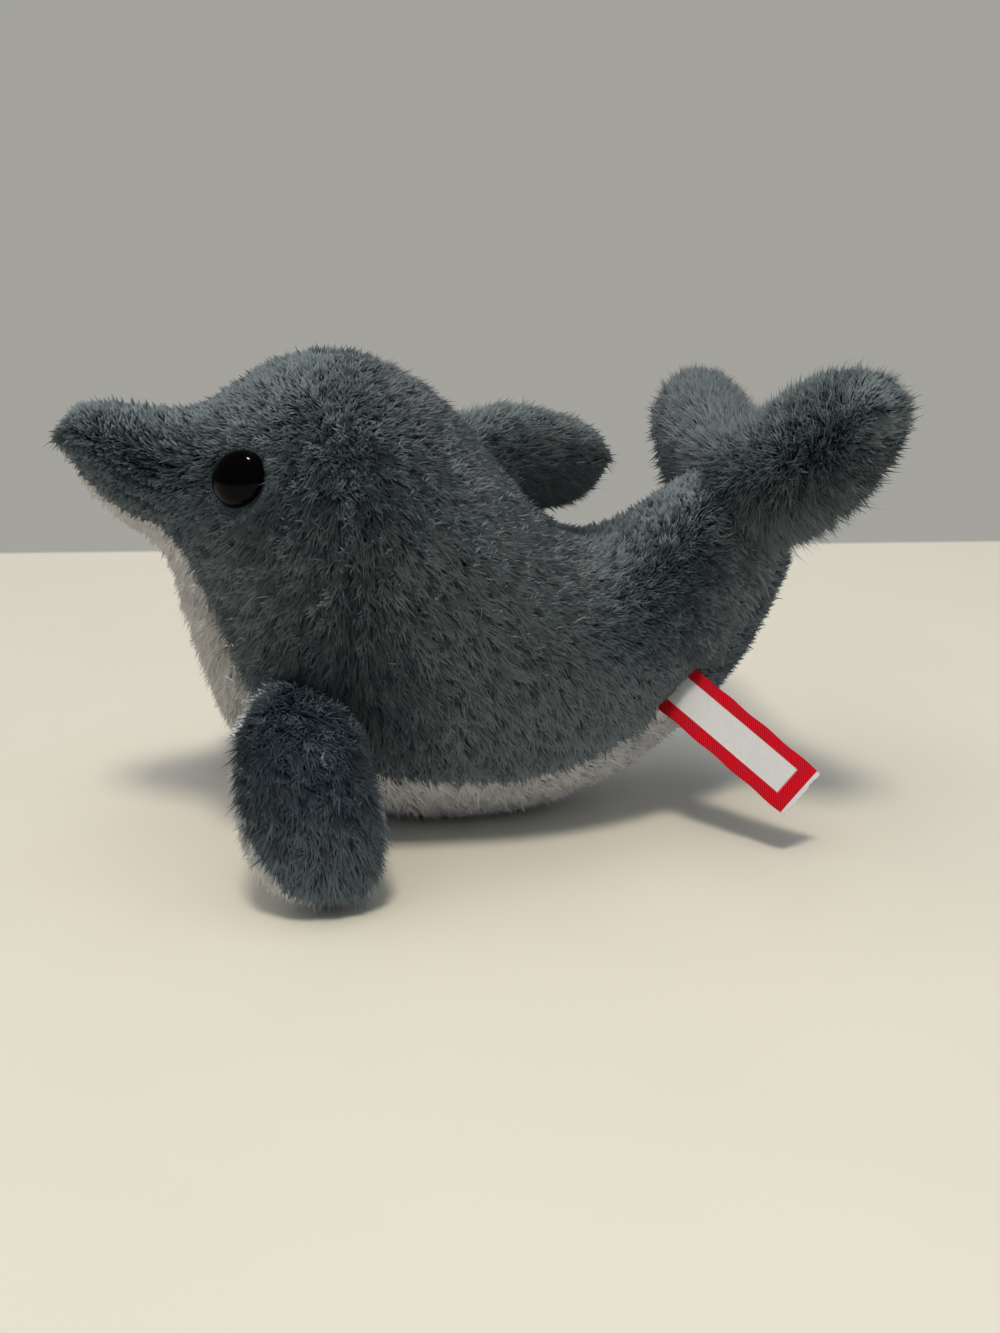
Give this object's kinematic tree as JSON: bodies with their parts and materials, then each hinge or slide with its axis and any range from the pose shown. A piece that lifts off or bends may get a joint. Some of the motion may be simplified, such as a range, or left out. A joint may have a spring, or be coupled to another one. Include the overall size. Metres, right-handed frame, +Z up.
{
  "type": "plush dolphin",
  "caption": "Small stuffed plush dolphin lying on its belly, tail raised, grey back, white belly, domed black eyes and a woven side label.",
  "frame": {"origin": "middle of the footprint, on the surface that the belly and flippers rest on", "axes": "+X from snout to tail, +Y towards the dolphin's right side, +Z up"},
  "size_m": [0.186, 0.1249, 0.1156],
  "materials": {
    "grey_plush": "blue-grey plush, 5 mm pile",
    "white_plush": "off-white plush, 5 mm pile",
    "polyester_fibre": "loose white fibre filling",
    "eye_black": "polished black",
    "washer_white": "natural moulded",
    "label_tape": "woven satin tape, red border and pale field, cut end"
  },
  "bodies": {
    "root": {"side_panel_left": "grey_plush", "side_panel_right": "grey_plush", "belly_panel": "white_plush", "tail_gusset": "grey_plush", "body_filling": "polyester_fibre", "dorsal_left_panel": "grey_plush", "dorsal_right_panel": "grey_plush", "dorsal_filling": "polyester_fibre", "flipper_left_outer_panel": "grey_plush", "flipper_left_inner_panel": "white_plush", "flipper_left_filling": "polyester_fibre", "flipper_right_outer_panel": "grey_plush", "flipper_right_inner_panel": "white_plush", "flipper_right_filling": "polyester_fibre", "fluke_under_panel": "grey_plush", "fluke_upper_panel": "grey_plush", "fluke_filling": "polyester_fibre", "eye_left": "eye_black", "eye_right": "eye_black", "eye_washer_left": "washer_white", "eye_washer_right": "washer_white", "side_label": "label_tape"}
  },
  "joints": []
}
